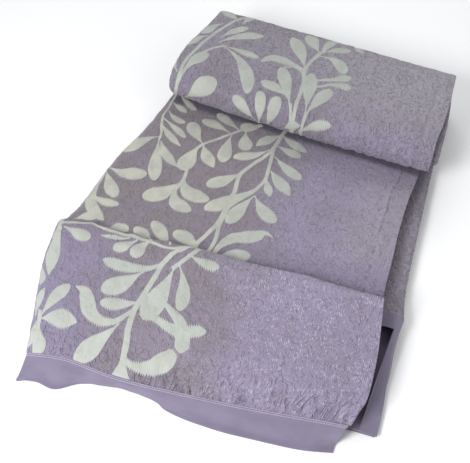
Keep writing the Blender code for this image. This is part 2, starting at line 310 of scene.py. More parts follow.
def woven_column(column):
    """One column of the woven cloth, from the front seam to the under seam."""
    front = front_edge(column, mix(TOP_RUN[0].left, TOP_RUN[0].right, column.at)).seam
    top, roll, under = TOP_INSET, ROLL_INSET, UNDER_INSET
    crest = [0.0, 0.06, 0.12, 0.2, 0.3, 0.42, 0.55, 0.66, 0.73, 0.78, 0.83, 0.9, 1.0]
    points = run_stations(column, TOP_RUN, (top, top), (front, CREST_END), crest, propped)
    flat = [0.12, 0.28, 0.45, 0.62, 0.8, 1.0]
    points += run_stations(column, TOP_RUN, (top, top), (CREST_END, INNER_TURN["y"]), flat)
    points += turn_stations(
        column, INNER_TURN, TOP_RUN[-1], BACK_RUN[-1], top, (-54, -18, 18, 54), 4
    )
    points += run_stations(
        column, BACK_RUN, (top, roll), (INNER_TURN["y"], NOSE_TURN["y"]), (0.0, 0.5, 1.0), bowed
    )
    points += turn_stations(
        column, NOSE_TURN, BACK_RUN[0], ROLL_RUN[0], roll, (-120, -150, 180, 150, 120), 1, bowed
    )
    points += run_stations(
        column, ROLL_RUN, (roll, top), (NOSE_TURN["y"], FAR_TURN["y"]), (0.0, 0.3, 0.65, 1.0), bowed
    )
    points += turn_stations(
        column, FAR_TURN, ROLL_RUN[-1], UNDER_RUN[-1], top, (64, 38, 12, -12, -38, -64), 1
    )
    ends = (FAR_TURN["y"], RISE_START)
    points += run_stations(column, UNDER_RUN, (under, under), ends, (0.0, 0.25, 0.6, 1.0), under=True)
    ends = (RISE_START, UNDER_SEAM)
    points += run_stations(column, UNDER_RUN, (under, under), ends, (0.3, 0.6, 1.0), under=True)
    return points

def band_start(seam, before):
    """The band's first two points, straight on from the cloth's end."""
    onward = (seam - before).normalized()
    return [seam + onward * SEAM_GAP, seam + onward * 0.004]

def front_band_column(column):
    """One column of the front band: from the seam, down to its bend and out to its hem."""
    seam, before = woven_column(column)[:2]
    start, turn = band_start(seam, before)
    edge = front_edge(column, seam.x)
    ends = {}
    for name in ("bend", "hem"):
        y = getattr(edge, name)
        layers, _ = layers_of(TOP_RUN, y)
        if column.part in ("layer 1", "left fold"):
            layers = {k: (y, z) for k, (_, z) in layers.items()}
            layers[1] = y, FOLD_Z[name]
        ends[name] = spot(column, layers, TOP_RUN[0], TOP_INSET)
        ends[name].y = y
        propped(ends[name])
        if column.part == "layer 1":
            ends[name].z = mix(FOLD_Z[name], SETTLED_Z[name], min(1.0, column.at / SETTLED_SHARE))
    middle = turn.lerp(ends["bend"], 0.5)
    if column.part == "layer 1":
        middle += Vector((0, -0.003, 0.002))
    return [start, turn, middle, ends["bend"], ends["hem"]]

def under_band_column(column):
    """One column of the under band: from the seam, forward to its hem."""
    before, seam = woven_column(column)[-2:]
    start, turn = band_start(seam, before)
    bulge = Vector((0, 0, 0))
    if column.part == "right fold":
        edge = next(row for row in MOUTH_EDGE if row.angle == column.at)
        hem = Vector((edge.x, edge.y, edge.z))
        bulge.x = edge.out
    else:
        hem = spot(column, {k: (0, z) for k, z in UNDER_HEM_Z.items()}, UNDER_RUN[0], UNDER_INSET)
        hem.y = UNDER_HEM["outer"]
        if column.part == "layer 4":
            hem.y = mix(UNDER_HEM["left"], UNDER_HEM["right"], column.at)
            hem.z = mix(hem.z, seam.z, column.at)
        elif column.part == "left fold":
            hem.y = mix(UNDER_HEM["left"], UNDER_HEM["outer"], (column.at + 90) / 180)
    shares = (0.25, 0.5, 0.75, 1.0)
    return [start, turn] + [turn.lerp(hem, t) + bulge * math.sin(math.pi * t**1.5) for t in shares]

# %% [markdown]
# ## A smooth surface through the columns
# The columns give a loose net of points. A cloth needs a smooth surface through them, and every point of it needs an
# address on the flat cloth. Here the address is (a, v): a runs across the cloth, from 0 on the outermost line of the
# left fold to the free edge at the right, and below zero on the hidden layers; v runs along it from the front seam.
# A curve through four neighbours at a time, taken both ways, keeps flat stretches flat and folds round.

# %% Surfaces addressed by flat places on the cloth
LEFT_LINE = 0.589  # from layer 1's free edge to the left fold's outermost line


def net_of(column_maker):
    return np.array([[tuple(p - CENTRE) for p in column_maker(column)] for column in COLUMNS])


def distances(points):
    return np.concatenate([[0.0], np.cumsum(np.linalg.norm(np.diff(points, axis=0), axis=1))])


woven_net = net_of(woven_column)
UNDER_ROLL_ROW = -26  # the row of points at the turn under the roll, where the width is measured
ACROSS = distances(woven_net[:, UNDER_ROLL_ROW])


class Surface:
    """A smooth surface through a net of points, which has one row of points for each column of the sheet."""

    def __init__(self, net, along):
        ends = [2 * net[:1] - net[1:2], net, 2 * net[-1:] - net[-2:-1]]
        net = np.concatenate(ends)
        net = np.concatenate([2 * net[:, :1] - net[:, 1:2], net, 2 * net[:, -1:] - net[:, -2:-1]], axis=1)
        self.net = net
        self.across = self.padded(ACROSS)
        self.along = self.padded(along)

    @staticmethod
    def padded(knots):
        return np.concatenate([[2 * knots[0] - knots[1]], knots, [2 * knots[-1] - knots[-2]]])

    @staticmethod
    def weights(knots, values):
        """For each value, the first of the four rows round it and their weights."""
        i = np.clip(np.searchsorted(knots, values, side="right") - 1, 1, len(knots) - 3)
        h0, h, h2 = knots[i] - knots[i - 1], knots[i + 1] - knots[i], knots[i + 2] - knots[i + 1]
        t = (values - knots[i]) / h
        p0, p1 = 2 * t**3 - 3 * t**2 + 1, -2 * t**3 + 3 * t**2
        m0, m1 = (t**3 - 2 * t**2 + t) * h / (h0 + h), (t**3 - t**2) * h / (h + h2)
        return i - 1, np.stack([-m0, p0 - m1, p1 + m0, m1])

    def at(self, a, v):
        i, wi = self.weights(self.across, LEFT_LINE - a)
        j, wj = self.weights(self.along, v)
        point = np.zeros((len(a), 3))
        for m in range(4):
            for n in range(4):
                point += (wi[m] * wj[n])[:, None] * self.net[i + m, j + n]
        return point

    def normals(self, a, v, step=0.0012):
        low_a, high_a = LEFT_LINE - ACROSS[-1], LEFT_LINE - ACROSS[0]
        a0, a1 = np.clip(a - step, low_a, high_a), np.clip(a + step, low_a, high_a)
        v0, v1 = np.clip(v - step, 0, self.along[-2]), np.clip(v + step, 0, self.along[-2])
        normal = np.cross(self.at(a1, v) - self.at(a0, v), self.at(a, v1) - self.at(a, v0))
        return normal / np.maximum(np.linalg.norm(normal, axis=1, keepdims=True), 1e-12)


woven = Surface(woven_net, distances(woven_net[COLUMNS.index(Column("layer 1", 0.47))]))
WIDTH = ACROSS[-1]
LENGTH = woven.along[-2]
A_LOW, A_HIGH = LEFT_LINE - WIDTH, LEFT_LINE
print(f"woven cloth, laid flat: {WIDTH:.3f} m wide, {LENGTH:.3f} m long")

# %% [markdown]
# ## The woven leaves
# On the real cloth the leaves are part of the weave, where the off-white yarn comes to the face. They could be a
# picture on the cloth, but a picture blurs near by. Here each leaf is a small outline that is charted on the
# flat cloth, from where it leaves its stem to its tip, and its edge becomes real edges of the sheet. Where a leaf's
# edge crosses the length of the cloth, the weave steps like the teeth of a comb.

# %% The chart of leaves and stems, in millimetres on the flat cloth
Leaf = namedtuple("Leaf", "a v tip_a tip_v width bend kind", defaults=["spoon"])
LEAVES = [Leaf(*row) for row in [
    # the front, from the seam to the crest
    (160, 96, 100, -2, 34, 0.02), (184, 218, 120, 148, 34, 0.04), (190, 152, 120, 123, 25, 0.08),
    (232, 240, 198, 116, 38, 0.05), (238, 247, 255, 152, 24, 0.18), (250, 272, 306, 260, 21, -0.16),
    (22, 64, 63, 144, 22, 0.09), (25, 64, 88, 70, 38, 0.10, "blade"), (21, 58, 34, -2, 23, -0.03),
    (14, 68, 22, 128, 12, 0.11, "blade"), (18, 58, 6, 6, 15, 0.05, "blade"), (18, 268, 23, 155, 22, 0.03, "blade"),
    (10, 172, 12, 132, 12, 0.10, "blade"), (14, 80, -22, 118, 22, 0.10), (8, 250, -26, 214, 22, -0.10),
    # along the crest
    (90, 287, 118, 326, 32, 0.02), (140, 280, 88, 269, 11, 0.06, "blade"), (154, 281, 120, 245, 22, 0.07),
    (178, 283, 130, 330, 24, -0.14), (179, 287, 160, 240, 25, -0.25), (212, 284, 150, 358, 24, -0.10),
    (262, 306, 198, 346, 30, -0.07), (286, 290, 346, 330, 34, 0.16), (22, 269, 74, 254, 26, 0.04),
    (24, 304, 56, 334, 26, 0.10), (14, 390, 75, 376, 21, -0.28),
    # the flat middle
    (157, 489, 106, 413, 40, 0.16), (156, 468, 204, 410, 31, -0.46), (156, 506, 225, 454, 36, -0.48),
    (256, 558, 206, 492, 32, 0.04), (296, 522, 226, 424, 34, 0.06), (302, 503, 279, 402, 29, -0.06),
    (302, 502, 361, 440, 31, -0.11), (9, 473, 84, 484, 35, -0.34), (9, 462, 60, 392, 26, -0.01),
    (52, 594, 12, 524, 38, -0.20), (55, 588, 106, 468, 26, 0.03), (62, 583, 131, 524, 20, -0.14, "blade"),
    (35, 632, 107, 582, 15, -0.06, "blade"), (29, 650, 100, 612, 15, 0.04), (28, 676, 78, 655, 15, -0.22),
    (24, 704, 66, 686, 15, 0.02, "blade"), (20, 742, 80, 702, 15, -0.06), (142, 610, 90, 664, 29, 0.12),
    (139, 602, 145, 519, 35, -0.08), (144, 607, 197, 549, 25, -0.06, "blade"), (184, 662, 205, 573, 28, -0.06),
    (178, 665, 106, 679, 25, -0.10), (194, 680, 126, 714, 22, -0.03), (207, 684, 234, 627, 30, -0.09),
    (234, 716, 190, 692, 30, 0.09), (281, 705, 245, 648, 24, -0.11, "blade"), (276, 650, 216, 599, 26, 0.22),
    (282, 670, 344, 655, 24, 0.01), (284, 706, 351, 677, 23, -0.05, "blade"), (294, 633, 369, 586, 27, -0.04),
    (303, 587, 365, 528, 28, 0.03, "blade"), (306, 558, 331, 510, 17, -0.02, "blade"), (6, 560, -28, 610, 24, 0.10),
    (0, 420, -34, 388, 22, 0.06),
    # the roll's front and top
    (48, 1194, 110, 1262, 42, 0.03), (33, 1255, 65, 1342, 28, 0.06), (80, 1386, 182, 1252, 31, 0.28),
    (84, 1389, 167, 1378, 21, 0.01), (67, 1395, 144, 1468, 28, 0.24), (61, 1414, 98, 1488, 22, 0.14),
    (66, 1506, 18, 1536, 30, -0.06), (80, 1500, 92, 1544, 20, 0.10), (40, 1478, 20, 1412, 24, -0.16),
    (34, 1412, 10, 1350, 22, -0.12), (22, 1250, -10, 1306, 22, 0.10), (270, 1390, 204, 1500, 33, -0.07),
    (282, 1464, 237, 1532, 32, 0.10), (283, 1472, 302, 1544, 18, 0.10, "blade"), (284, 1470, 342, 1512, 22, 0.12),
    (281, 1454, 350, 1414, 29, 0.50), (280, 1250, 224, 1374, 29, -0.02), (270, 1274, 200, 1300, 30, -0.20),
    (314, 1250, 290, 1382, 31, -0.01), (315, 1244, 344, 1346, 29, -0.02), (212, 1198, 156, 1240, 24, -0.06),
    (219, 1190, 208, 1270, 23, -0.11), (236, 1190, 247, 1270, 27, -0.10), (308, 1204, 372, 1240, 22, 0.16),
    (276, 1202, 310, 1222, 22, 0.10, "blade"), (303, 1530, 336, 1554, 14, 0.10, "blade"),
    (343, 1545, 370, 1514, 17, 0.07, "blade"), (196, 1570, 246, 1552, 24, 0.10),
]]
Stem = namedtuple("Stem", "width path")
STEMS = [
    Stem(8, [(203, 209), (213, 250), (224, 270), (240, 284), (248, 328), (263, 399)]),
    Stem(7, [(228, 236), (240, 252), (256, 276), (270, 300), (274, 322), (266, 392)]),
    Stem(5, [(12, 276), (36, 284), (62, 290), (90, 286), (134, 284), (176, 283), (214, 277), (250, 288), (288, 290)]),
    Stem(6, [(24, -4), (22, 62), (20, 80)]),
    Stem(5, [(14, 240), (14, 285), (2, 330), (-6, 400)]),
    Stem(8, [(263, 399), (262, 446), (261, 503), (253, 550), (263, 590), (280, 642), (282, 712), (290, 760)]),
    Stem(7, [(266, 392), (267, 453), (296, 514), (304, 552), (296, 596), (281, 662)]),
    Stem(6, [(230, 718), (194, 680), (166, 642), (141, 602), (140, 560), (154, 514), (158, 487), (155, 464)]),
    Stem(5, [(16, 750), (22, 690), (25, 656), (36, 630), (54, 594), (56, 586)]),
    Stem(6, [(-8, 500), (6, 462), (6, 400), (0, 340)]),
    Stem(8, [
        (292, 1120), (292, 1226), (290, 1262), (284, 1341), (272, 1386), (274, 1432), (284, 1472), (300, 1528),
        (344, 1552),
    ]),
    Stem(5, [(288, 1206), (284, 1240), (278, 1262)]),
    Stem(6, [(306, 1120), (313, 1204), (316, 1252)]),
    Stem(7, [(14, 1150), (28, 1226), (28, 1286), (35, 1336), (40, 1407), (49, 1466), (70, 1524), (120, 1556)]),
    Stem(6, [(29, 1230), (35, 1256), (46, 1306), (62, 1358), (82, 1388)]),
    Stem(4, [(229, 1376), (250, 1386), (274, 1370)]),
    Stem(5, [(216, 1192), (224, 1150), (236, 1130)]),
]
# A curl is a shape that no single bend gives: places on its middle, each with its width there
CURLS = [
    [
        (74, 144, 2), (90, 139, 20), (98, 120, 27), (105, 100, 28), (122, 89, 23), (148, 94, 12), (168, 115, 7),
        (186, 142, 5),
    ],
    [(184, 38, 5), (196, 28, 12), (214, 26, 19), (236, 32, 30), (252, 46, 37), (257, 62, 28), (256, 73, 6)],
    [
        (188, -4, 38), (186, 8, 26), (184, 24, 13), (182, 52, 11), (177, 84, 10), (181, 130, 9), (190, 162, 9),
        (203, 211, 8),
    ],
    [(212, 127, 16), (227, 121, 15), (246, 113, 20), (266, 110, 27), (286, 116, 24), (301, 120, 18), (307, 121, 4)],
    [(230, 160, 8), (245, 146, 14), (261, 129, 20), (268, 110, 23), (272, 90, 25), (274, 76, 20), (275, 69, 4)],
    [(284, 294, 4), (288, 338, 13), (304, 368, 27), (320, 377, 32), (335, 389, 31), (351, 404, 12), (368, 398, 2)],
    [(10, 450, 8), (14, 402, 12), (24, 366, 19), (42, 344, 21), (58, 332, 17), (72, 324, 3)],
    [(178, 1368, 4), (188, 1390, 20), (206, 1399, 27), (228, 1396, 23), (250, 1391, 14), (272, 1384, 6)],
    [(222, 264, 5), (208, 240, 6), (190, 226, 10), (164, 218, 20), (138, 215, 25), (118, 217, 19), (109, 219, 5)],
    [(306, 1362, 5), (331, 1378, 10), (348, 1390, 17), (362, 1402, 22), (371, 1408, 8)],
    [(313, 1338, 5), (337, 1360, 9), (356, 1368, 17), (371, 1369, 23), (381, 1369, 8)],
]
REPEAT = dict(first=400, last=640, onward=1184)  # the middle's sprays come again over the far edge
shift = REPEAT["onward"]
LEAVES += [
    leaf._replace(v=leaf.v + shift, tip_v=leaf.tip_v + shift)
    for leaf in LEAVES
    if REPEAT["first"] < min(leaf.v, leaf.tip_v) and max(leaf.v, leaf.tip_v) < REPEAT["last"]
]
STEMS += [
    Stem(stem.width, [(a, v + shift) for a, v in stem.path])
    for stem in STEMS
    if all(REPEAT["first"] - 20 < v < REPEAT["last"] + 120 for a, v in stem.path)
]
print(len(LEAVES), "leaves,", len(CURLS), "curled ones and", len(STEMS), "stems")

# %% [markdown]
# ## Outlines
# A spoon leaf is widest near its round tip, and a blade leaf is widest in its middle and ends in a point. Both hang
# on a curved midline, and keep a thin stalk where they meet the stem.

# %% Leaf and stem outlines with comb teeth
EDGE_STEP = 0.0021  # between the points of an outline
TOOTH = 0.0029  # a tooth's depth to each side of the outline
STALK = 0.0014  # half a stalk's width


def half_width(kind, t):
    if kind == "spoon":
        s = t**1.85
        return np.where(s < 0.5, np.sin(np.pi * s) ** 0.8, np.sin(np.pi * s) ** 0.5)
    return np.sin(np.pi * t**1.25) ** 0.95


def evenly(points, step):
    """The same line with its points a step apart."""
    d = distances(points[:, :2])
    at = np.linspace(0, d[-1], max(4, int(round(d[-1] / step))) + 1)
    return np.stack([np.interp(at, d, column) for column in points.T], axis=1)


def toothed(line, out, half):
    """The closed outline round a midline, with teeth along the cloth where its edge crosses the cloth's length."""
    sides = np.concatenate([line + out * half, (line - out * half)[::-1]])
    sides = np.column_stack([sides, np.concatenate([half, half[::-1]])])
    sides = evenly(np.concatenate([sides, sides[:1]]), EDGE_STEP)[:-1]
    edge, room = sides[:, :2], sides[:, 2]
    along = np.roll(edge, -1, axis=0) - np.roll(edge, 1, axis=0)
    along /= np.maximum(np.linalg.norm(along, axis=1, keepdims=True), 1e-9)
    depth = np.minimum(TOOTH, room * 0.42) * np.abs(along[:, 0]) ** 1.5
    edge[:, 1] += depth * np.where(np.arange(len(edge)) % 2, 1, -1)
    return edge


def sideways(line):
    heading = np.gradient(line, axis=0)
    heading /= np.linalg.norm(heading, axis=1, keepdims=True)
    return np.stack([-heading[:, 1], heading[:, 0]], axis=1)


def leaf_outline(leaf):
    base, tip = np.array([leaf.a, leaf.v]) / 1000, np.array([leaf.tip_a, leaf.tip_v]) / 1000
    side = np.array([base[1] - tip[1], tip[0] - base[0]])
    middle = (base + tip) / 2 + side * leaf.bend
    t = np.linspace(0, 1, 61)[:, None]
    line = (1 - t) ** 2 * base + 2 * t * (1 - t) * middle + t**2 * tip
    half = leaf.width / 2000 * half_width(leaf.kind, t)
    half = np.maximum(half, np.where(t < 0.6, STALK, 0.0))
    return toothed(line, sideways(line), half)


def path_outline(path):
    """The outline along a smooth line through places, each given as (a, v, width)."""
    path = np.array(path, float) / 1000
    knots = distances(path[:, :2])
    t = np.linspace(0, knots[-1], int(knots[-1] / 0.003) + 2)
    tangents = np.gradient(path, knots, axis=0)
    i = np.clip(np.searchsorted(knots, t, side="right") - 1, 0, len(knots) - 2)
    h = (knots[i + 1] - knots[i])[:, None]
    s = (t - knots[i])[:, None] / h
    line = (
        (2 * s**3 - 3 * s**2 + 1) * path[i] + (s**3 - 2 * s**2 + s) * h * tangents[i]
        + (-2 * s**3 + 3 * s**2) * path[i + 1] + (s**3 - s**2) * h * tangents[i + 1]
    )
    return toothed(line[:, :2], sideways(line[:, :2]), np.maximum(line[:, 2:] / 2, 0.0006))


outlines = [leaf_outline(leaf) for leaf in LEAVES]
outlines += [path_outline([(a, v, stem.width) for a, v in stem.path]) for stem in STEMS]
outlines += [path_outline(curl) for curl in CURLS]
for outline in outlines:
    outline[:, 1] = np.clip(outline[:, 1], 0.0012, LENGTH)
print("points on the outlines:", sum(len(outline) for outline in outlines))

# %% [markdown]
# ## The flat sheet
# The sheet is cut out flat first, as a net of triangles. Where the eye reaches, its points lie close together, and on
# the hidden layers they lie far apart, so the whole stays light. A triangulation that keeps given edges joins them
# and keeps every leaf's outline. A triangle belongs to a leaf if the leaf's outline winds round its middle.

# %% Points of the flat sheet and its triangles
FINE, COARSE = 0.0068, 0.030
ROW_SHARE = 0.866  # of FINE, between rows, so that three near points make an even triangle
RIM_GAP = 0.003  # the least distance from the rim, and for a coarse point from an outline too
OUTLINE_GAP = 0.42 * FINE  # the least distance of a fine point from an outline or the rim's points
HIDDEN_BELOW = -0.035  # across the cloth: from here on down it is round the left fold
Window = namedtuple("Window", "a0 a1 v0 v1")
SEEN = [
    Window(HIDDEN_BELOW, A_HIGH, 0.00, 0.80),  # the front and the middle
    Window(HIDDEN_BELOW, A_HIGH, 1.13, 1.69),  # the roll
    Window(-0.655, -0.53, 1.65, LENGTH),  # the under run's right-hand edge
]


def split(knots, longest):
    """The knots, with the long gaps between them split evenly."""
    out = [knots[0]]
    for a, b in zip(knots[:-1], knots[1:]):
        parts = max(1, math.ceil(abs(b - a) / longest))
        out += [a + (b - a) * (k + 1) / parts for k in range(parts)]
    return np.array(out)


def seen(points, margin=0.001):
    """Which points lie in a window, by more than the margin."""
    inside = np.zeros(len(points), bool)
    for w in SEEN:
        low, high = np.array([w.a0 + margin, w.v0 + margin]), np.array([w.a1 - margin, w.v1 - margin])
        inside |= ((points > low) & (points < high)).all(axis=1)
    return inside


def net_points():
    lines_a = LEFT_LINE - split(ACROSS, COARSE)
    lines_v = split(woven.along[1:-1], COARSE)
    far = np.stack(np.meshgrid(lines_a, lines_v), axis=-1).reshape(-1, 2)
    far = far[~seen(far)]
    near = []
    for w in SEEN:
        rows = np.arange(w.v0, w.v1, FINE * ROW_SHARE)
        for k, row in enumerate(rows):
            line = np.arange(w.a0 + (k % 2) * FINE / 2, w.a1, FINE)
            near.append(np.stack([line, np.full(len(line), row)], axis=1))
    near = np.concatenate(near)
    near = near[(near[:, 0] > A_LOW + RIM_GAP) & (near[:, 0] < A_HIGH - RIM_GAP)]
    near = near[(near[:, 1] > RIM_GAP) & (near[:, 1] < LENGTH - RIM_GAP)]
    rim_a = split(np.array([A_LOW, HIDDEN_BELOW, A_HIGH]), 0.005)
    rim_v = split(np.array([0.0, LENGTH]), 0.006)
    rim = [np.stack([rim_a, np.full(len(rim_a), v)], axis=1) for v in (0.0, LENGTH)]
    rim += [np.stack([np.full(len(rim_v), a), rim_v], axis=1) for a in (A_LOW, A_HIGH)]
    return far, near, np.concatenate(rim)


far, near, rim = net_points()
edge_tree = KDTree(sum(len(o) for o in outlines) + len(rim))
for k, (a, v) in enumerate(np.concatenate(outlines + [rim])):
    edge_tree.insert((a, v, 0), k)
edge_tree.balance()
keep = [edge_tree.find((a, v, 0))[2] > OUTLINE_GAP for a, v in near]
near = near[np.array(keep)]
keep = [edge_tree.find((a, v, 0))[2] > RIM_GAP for a, v in far]
far = far[np.array(keep)]
loose = np.concatenate([far, near, rim])
flat_points = [Vector(p) for p in np.concatenate([loose] + outlines)]
edges, first = [], len(loose)
for outline in outlines:
    count = len(outline)
    edges += [(first + k, first + (k + 1) % count) for k in range(count)]
    first += count
verts, _, triangles, _, _, _ = delaunay_2d_cdt(flat_points, edges, [], 0, 1e-7)
flat = np.array([tuple(v) for v in verts])
triangles = np.array(triangles)
middles = flat[triangles].mean(axis=1)


def turns_round(outline, points):
    """How often the outline winds round each point."""
    start, end = outline[:, None], np.roll(outline, -1, axis=0)[:, None]
    rising = (start[..., 1] <= points[:, 1]) & (end[..., 1] > points[:, 1])
    falling = (start[..., 1] > points[:, 1]) & (end[..., 1] <= points[:, 1])
    run, to_point = end - start, points - start
    side = run[..., 0] * to_point[..., 1] - run[..., 1] * to_point[..., 0]
    return (rising & (side > 0)).sum(axis=0) - (falling & (side < 0)).sum(axis=0)


in_leaf = np.zeros(len(triangles), bool)
for outline in outlines:
    low, high = outline.min(axis=0), outline.max(axis=0)
    near_it = np.flatnonzero(((middles > low) & (middles < high)).all(axis=1))
    in_leaf[near_it] |= turns_round(outline, middles[near_it]) != 0
print(f"{len(flat)} points, {len(triangles)} triangles, {in_leaf.sum()} of them in leaves")

# %% [markdown]
# ## Puckers and creases
# A matelasse weave pulls itself into puckers, and a folded cloth keeps creases where it was pressed. Puckers come from
# smooth noise at two sizes, drawn out a little along the cloth. The main creases are listed as soft ridges and
# troughs, each from one place on the cloth to another. The hidden layers get little of either, so they stay clear of
# each other, and the side that lies on the surface gets none.

# %% The height of the relief at a place on the cloth
Crease = namedtuple("Crease", "a0 v0 a1 v1 width height")
CREASES = [Crease(*row) for row in [
    # the crest: a soft ridge that is pinched into a wrinkle at the left, and the trough behind it
    (-10, 286, 70, 290, 7, 3.0), (60, 291, 150, 287, 7, 4.2), (140, 286, 205, 291, 8, 4.6),
    (200, 290, 310, 286, 9, 6.0), (310, 286, 460, 279, 9, 7.5), (460, 279, 603, 267, 10, 7.5),
    (230, 264, 680, 246, 27, 4.5), (0, 311, 220, 312, 10, -2.6), (220, 314, 680, 298, 14, -4.7),
    (40, 272, 190, 270, 9, -1.8), (96, 262, 190, 254, 6, 1.2),
    # long wrinkles along the right edge, where a crease was pressed before
    (562, 320, 550, 730, 6, 2.4), (551, 320, 538, 730, 5, -2.2), (470, 560, 462, 700, 6, 0.9),
    (416, 600, 408, 712, 5, 0.9), (500, 360, 512, 520, 6, 0.8), (352, 330, 372, 470, 6, 0.8),
    (548, 50, 553, 262, 4, -1.6), (430, 60, 420, 230, 9, 0.8),
    # slanting pulls on the front
    (30, 236, 100, 150, 7, 1.0), (60, 250, 120, 190, 6, -0.8), (310, 40, 380, 130, 9, 0.9),
    (470, 30, 520, 120, 8, 1.0),
    # the middle's slow waves
    (60, 380, 260, 372, 22, 1.6), (330, 380, 540, 392, 24, -1.4), (60, 560, 300, 548, 30, 1.2),
    # the roll: upright wrinkles on its nose, and slow ones on top
    (126, 1147, 130, 1256, 5, -1.2), (134, 1147, 138, 1250, 5, 1.1), (366, 1145, 372, 1227, 5, 1.2),
    (412, 1143, 416, 1247, 6, 1.4), (438, 1153, 436, 1234, 5, -1.0), (462, 1145, 470, 1252, 6, 1.2),
    (505, 1143, 500, 1233, 6, 1.3), (540, 1145, 552, 1272, 7, 1.4), (567, 1175, 571, 1478, 8, 2.0),
    (556, 1175, 558, 1468, 7, -1.2), (380, 1261, 540, 1286, 12, 0.9), (400, 1358, 545, 1368, 16, 0.8),
    (20, 1195, 110, 1207, 10, -1.4), (10, 1227, 120, 1245, 9, 1.2),
]]
LEAF_RISE = 0.0007  # how far a leaf stands above the puckers
GOES_UNDER = 1.59, 1.67  # along the cloth: where its outer layer turns down to the surface, and has done so


def crease_height(a, v):
    height = np.zeros(len(a))
    for c in CREASES:
        start, end = np.array([c.a0, c.v0]) / 1000, np.array([c.a1, c.v1]) / 1000
        run = end - start
        length = np.linalg.norm(run)
        share = ((a - start[0]) * run[0] + (v - start[1]) * run[1]) / length**2
        aside = ((a - start[0]) * run[1] - (v - start[1]) * run[0]) / length
        beyond = np.maximum(0, np.abs(share - 0.5) - 0.38) / 0.16
        height += c.height / 1000 * np.exp(-((aside / (c.width / 1000)) ** 2) - beyond**2)
    return height


def waves(a, v, size_a, size_v, seed):
    return np.array([noise.noise((x / size_a, y / size_v, seed)) for x, y in zip(a, v)])


def smooth(low, high, value):
    t = np.clip((value - low) / (high - low), 0, 1)
    return t * t * (3 - 2 * t)


def relief(a, v):
    outer = smooth(HIDDEN_BELOW, -0.015, a)
    in_roll = smooth(0.74, 0.80, v) * (1 - smooth(1.13, 1.19, v))
    shown = np.maximum(outer * (1 - in_roll), smooth(1.66, 1.74, v) * (1 - outer))
    under = outer * smooth(*GOES_UNDER, v)
    puckers = 0.0011 * waves(a, v, 0.015, 0.026, 3.0) + 0.0008 * waves(a, v, 0.008, 0.012, 8.0)
    slow = 0.0022 * waves(a, v, 0.10, 0.13, 5.0)
    ridges = 0.6 - 3 * np.abs(waves(a + 0.3 * v, v, 0.014, 0.050, 12.0))
    gathered = np.exp(-((v / 0.048) ** 2)) * smooth(0.08, 0.32, a) * 0.0050 * ridges
    gathered += np.exp(-(((v - 1.20) / 0.060) ** 2)) * smooth(0.05, 0.35, a) * 0.0026 * ridges
    height = puckers + (slow + gathered + crease_height(a, v)) * outer
    return height * (0.25 + 0.75 * shown) * (1 - under)


sample = relief(np.array([0.1, 0.3, 0.5]), np.array([0.2, 0.29, 0.6]))
print("a sample of the relief, in mm:", np.round(sample * 1000, 2))

# %% [markdown]
# ## Folding the sheet
# Now the flat net goes to its folded place: each point moves to its address on the folded surface, and out along the
# surface's normal by its relief. The flat address stays with the sheet as its UV map, in metres, so that every
# pattern in the materials follows the cloth round its folds. A Solidify modifier gives it its thickness, with another
# material on the wrong side.

# %% The woven cloth
def put_in_scene(name, data):
    """A new object in the scene, selected alone and active."""
    made = bpy.data.objects.new(name, data)
    bpy.context.scene.collection.objects.link(made)
    bpy.ops.object.select_all(action="DESELECT")
    bpy.context.view_layer.objects.active = made
    made.select_set(True)
    return made


def make_sheet(name, surface, places, faces, heights, thickness, slots, pinched=False):
    """A folded sheet from flat places, with its flat address as its UV map and its thickness applied."""
    a, v = places[:, 0], places[:, 1]
    folded = surface.at(a, v) + surface.normals(a, v) * heights[:, None]
    folded[:, 2] = np.maximum(folded[:, 2], thickness / 2)  # nothing sinks into what it lies on
    mesh = bpy.data.meshes.new(name)
    mesh.from_pydata([tuple(p) for p in folded], [], [tuple(f) for f in faces])
    uv = mesh.uv_layers.new(name="flat_cloth")
    corner_verts = np.zeros(len(mesh.loops), np.int32)
    mesh.loops.foreach_get("vertex_index", corner_verts)
    uv.data.foreach_set("uv", places[corner_verts].astype(np.float32).ravel())
    mesh.polygons.foreach_set("material_index", slots)
    sheet = put_in_scene(name, mesh)
    shell = sheet.modifiers.new("Thickness", "SOLIDIFY")
    shell.thickness, shell.offset, shell.material_offset = thickness, 0, 2
    if pinched:
        thinned = sheet.vertex_groups.new(name="full away from the seams")
        ends = np.minimum(v, LENGTH - v)
        for k, weight in enumerate(smooth(-0.004, 0.010, ends)):
            thinned.add([k], float(weight), "REPLACE")
        shell.vertex_group, shell.thickness_vertex_group = thinned.name, 0.35
    for k in range(4):
        mesh.materials.append(None)
    bpy.ops.object.modifier_apply(modifier="Thickness")
    bpy.ops.object.shade_smooth_by_angle(angle=math.radians(55))
    sheet.data.calc_loop_triangles()
    print(f"{name}: {len(sheet.data.loop_triangles)} triangles")
    return sheet


leaf_share = np.zeros(len(flat))
ground_share = np.zeros(len(flat))
np.add.at(leaf_share, triangles[in_leaf].ravel(), 1)
np.add.at(ground_share, triangles[~in_leaf].ravel(), 1)
raised = leaf_share / np.maximum(1, leaf_share + ground_share)
heights = relief(flat[:, 0], flat[:, 1]) + LEAF_RISE * raised * (1 - smooth(*GOES_UNDER, flat[:, 1]))
leaf_slots = in_leaf.astype(np.int32)
cloth = make_sheet("puckered_cloth", woven, flat, triangles, heights, CLOTH, leaf_slots, pinched=True)

# %% [markdown]
# ## The hem bands
# The bands are plain cloth, thinner and smoother than the jacquard. They need no leaf edges, so a regular net will do:
# lines across at every few millimetres where they show, and rows from the seam to the hem. Slow waves keep them from
# looking ironed, and a shallow trough near the hem marks where it is turned and sewn.

# %% The two bands
SEAM_COVER = 0.0007  # how far a band reaches into the gap at its seam
MOUTH_COVER = 0.004  # how much longer the under band is drawn, to close its mouth


